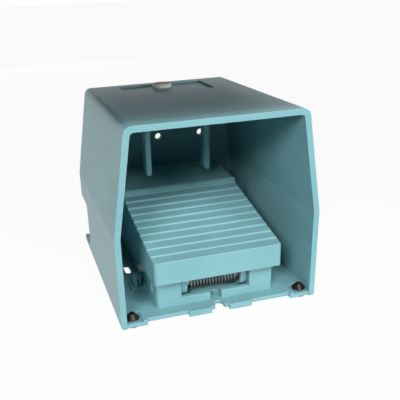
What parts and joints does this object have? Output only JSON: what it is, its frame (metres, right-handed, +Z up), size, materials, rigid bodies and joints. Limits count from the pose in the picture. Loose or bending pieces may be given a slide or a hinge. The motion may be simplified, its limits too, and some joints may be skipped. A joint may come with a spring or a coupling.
{
  "type": "guarded foot switch",
  "caption": "Foot switch with a stepped-tread pedal on a sprung hinge inside a deep sloping cast hood, with a plunger and contact block, a cable gland and rubber feet",
  "frame": {"origin": "middle of the footprint on the surface that the feet stand on", "axes": "+Z up, +Y to the closed rear of the guard, -Y out of its opening, +X to the right seen from the front"},
  "size_m": [0.16, 0.176, 0.1567],
  "materials": {
    "painted_casting": "satin",
    "black_rubber": "matte",
    "plug_plastic": "satin",
    "zinc_plated_steel": "satin",
    "turned_steel": "satin",
    "spring_steel": "satin",
    "white_nylon": "matte",
    "cast_cover": "satin",
    "black_nylon": "matte",
    "contact_brass": "satin",
    "sintered_bronze": "matte"
  },
  "bodies": {
    "base": {"guard": "painted_casting", "rubber_feet": "black_rubber", "roof_plug": "plug_plastic", "switch_body": "painted_casting", "body_screws": "zinc_plated_steel", "hinge_shaft": "turned_steel", "shaft_grub_screws": "zinc_plated_steel", "thrust_washers": "white_nylon", "torsion_spring": "spring_steel", "contact_cover": "cast_cover", "cover_gasket": "black_rubber", "cover_screws": "zinc_plated_steel", "plunger_seal": "black_rubber", "travel_buffers": "black_rubber", "contact_housing": "black_nylon", "housing_screws": "zinc_plated_steel", "opening_contacts": "contact_brass", "closing_contacts": "contact_brass", "terminal_screws": "contact_brass", "terminal_clamps": "zinc_plated_steel", "return_spring": "spring_steel", "earth_screw": "contact_brass", "earth_washer": "contact_brass", "gland_body": "black_nylon", "gland_washer": "black_rubber", "gland_locknut": "black_nylon", "gland_seal": "black_rubber", "gland_nut": "black_nylon"},
    "pedal": {"pedal": "painted_casting", "hinge_bushes": "sintered_bronze", "tappet": "turned_steel"},
    "plunger": {"plunger": "white_nylon", "plunger_head": "turned_steel", "contact_carrier": "black_nylon", "bridge_contacts": "contact_brass"}
  },
  "joints": [
    {"name": "pedal_hinge", "type": "hinge", "parent": "base", "child": "pedal", "pos_m": [0, -0.063, 0.019], "axis": [-1, 0, 0], "range_deg": [0, 6], "stiffness_Nm_per_rad": 6, "springref_deg": -5.73},
    {"name": "plunger_slide", "type": "slide", "parent": "base", "child": "plunger", "axis": [0, 0, -1], "range_m": [0, 0.0063], "stiffness_N_per_m": 300, "springref_m": -0.004, "deforming": ["return_spring"]}
  ],
  "couplings": [
    {"joint": "plunger_slide", "follows": "pedal_hinge", "m_per_rad": 0.05994}
  ]
}
